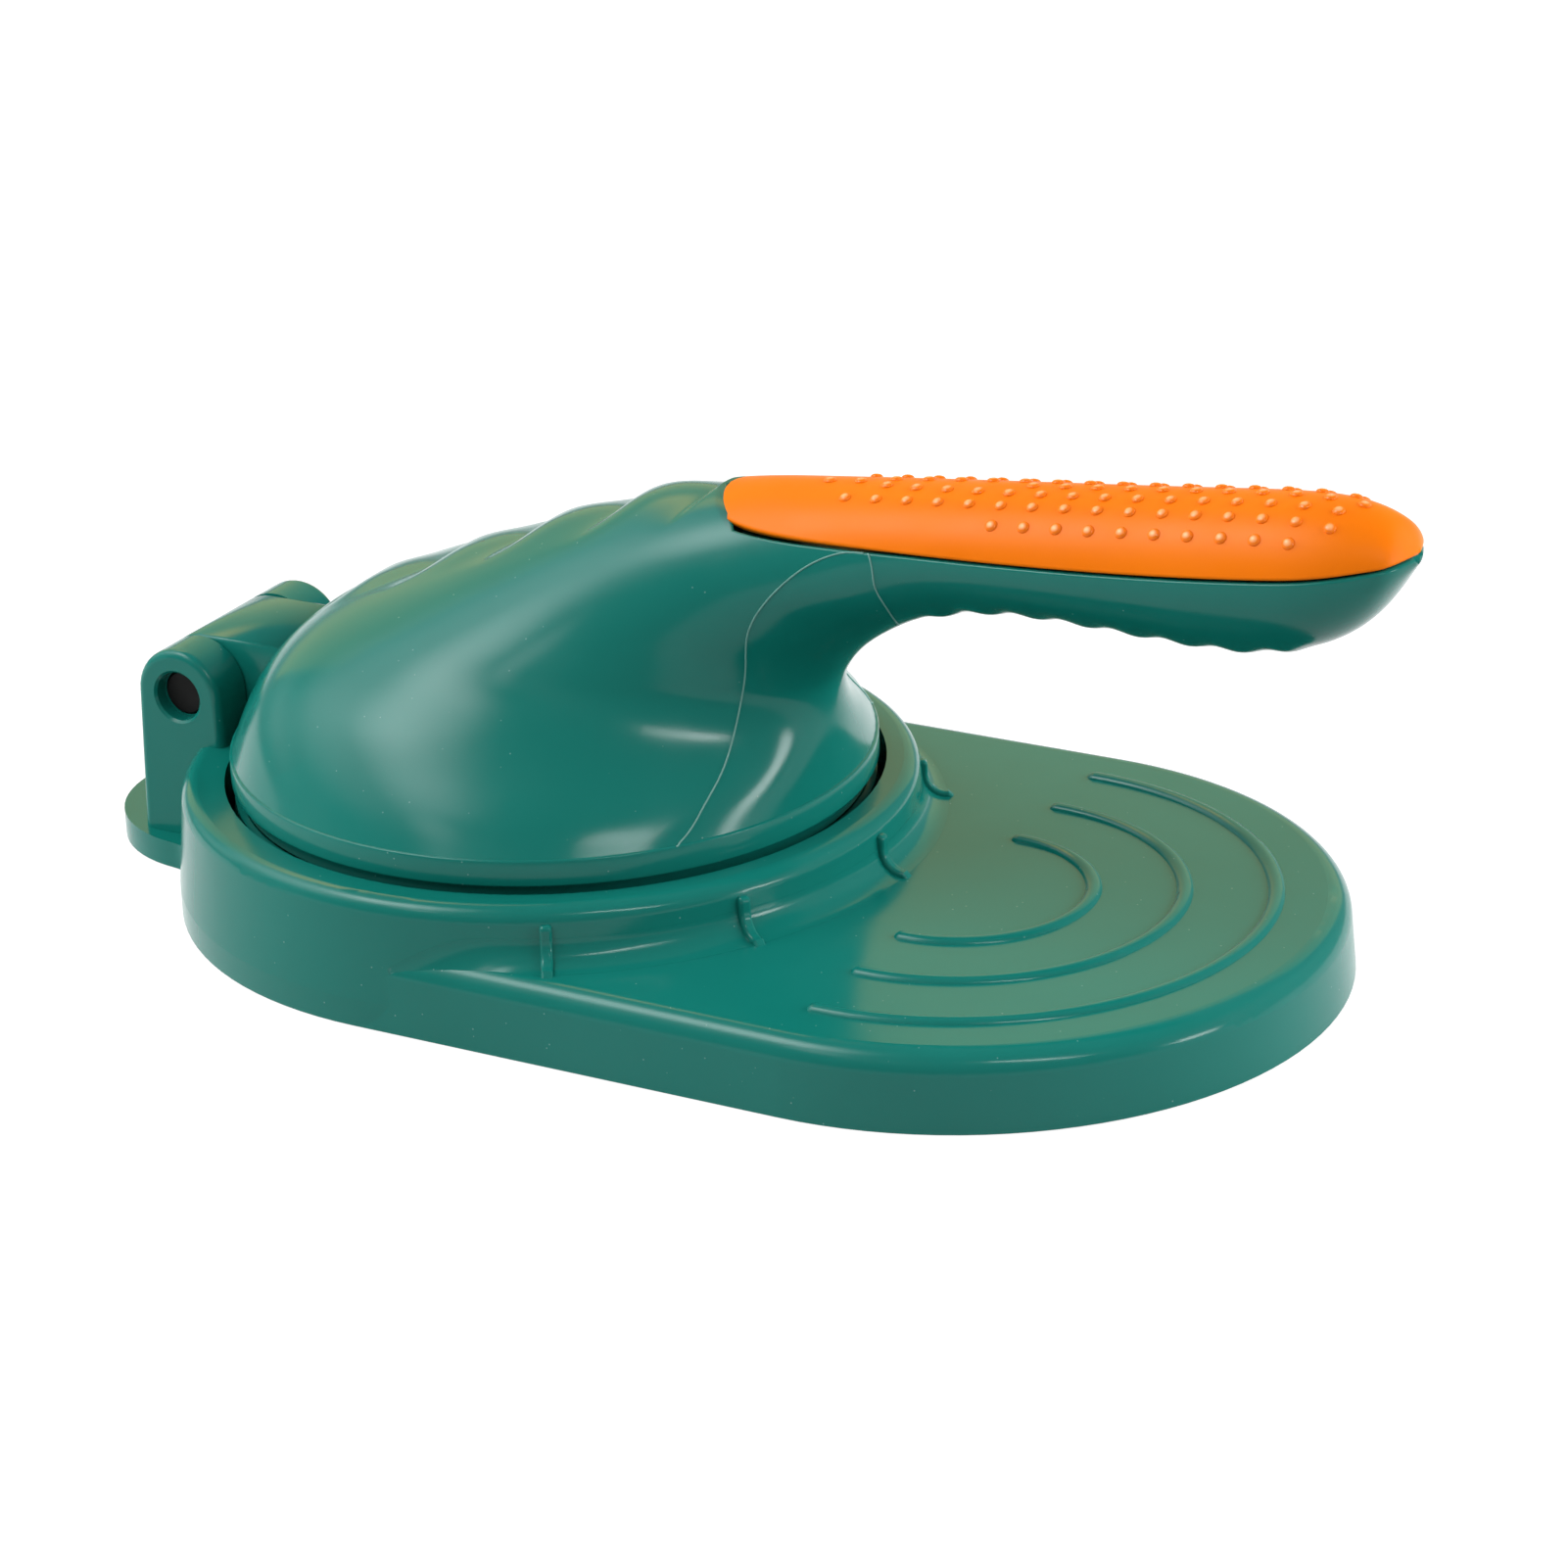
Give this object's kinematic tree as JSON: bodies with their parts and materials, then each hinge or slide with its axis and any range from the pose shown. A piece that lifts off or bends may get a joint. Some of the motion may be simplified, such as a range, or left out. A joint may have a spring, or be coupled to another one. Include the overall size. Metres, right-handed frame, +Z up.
{
  "type": "hinged dough press",
  "caption": "Hinged hand press that flattens a ball of dough into a small round skin, with a domed lid, a long grip handle and a wide rest apron.",
  "frame": {"origin": "on the table, midway between the tail flange's rear edge and the handle's tip, in the middle plane", "axes": "+X from the hinge towards the handle's tip, +Y to the left along the hinge pin, +Z up"},
  "size_m": [0.2194, 0.1166, 0.0812],
  "materials": {
    "shell": "glossy moulded teal-green plastic",
    "plate": "smooth moulded teal-green plastic",
    "grip": "satin orange plastic with small raised dots",
    "pin": "black nylon",
    "screw": "zinc plated steel",
    "foot": "black rubber"
  },
  "bodies": {
    "base": {"base_shell": "shell", "bed_plate": "plate", "bed_screw_1": "screw", "bed_screw_2": "screw", "bed_screw_3": "screw", "bed_screw_4": "screw", "foot_front_left": "foot", "foot_front_right": "foot", "foot_rear_left": "foot", "foot_rear_right": "foot", "hinge_pin": "pin"},
    "lid": {"lid_shell": "shell", "press_plate": "plate", "grip_pad": "grip", "plate_screw_1": "screw", "plate_screw_2": "screw", "plate_screw_3": "screw", "plate_screw_4": "screw"}
  },
  "joints": [
    {"name": "lid_hinge", "type": "hinge", "parent": "base", "child": "lid", "pos_m": [-0.08935, 0, 0.028], "axis": [0, -1, 0], "range_deg": [0, 110]}
  ]
}
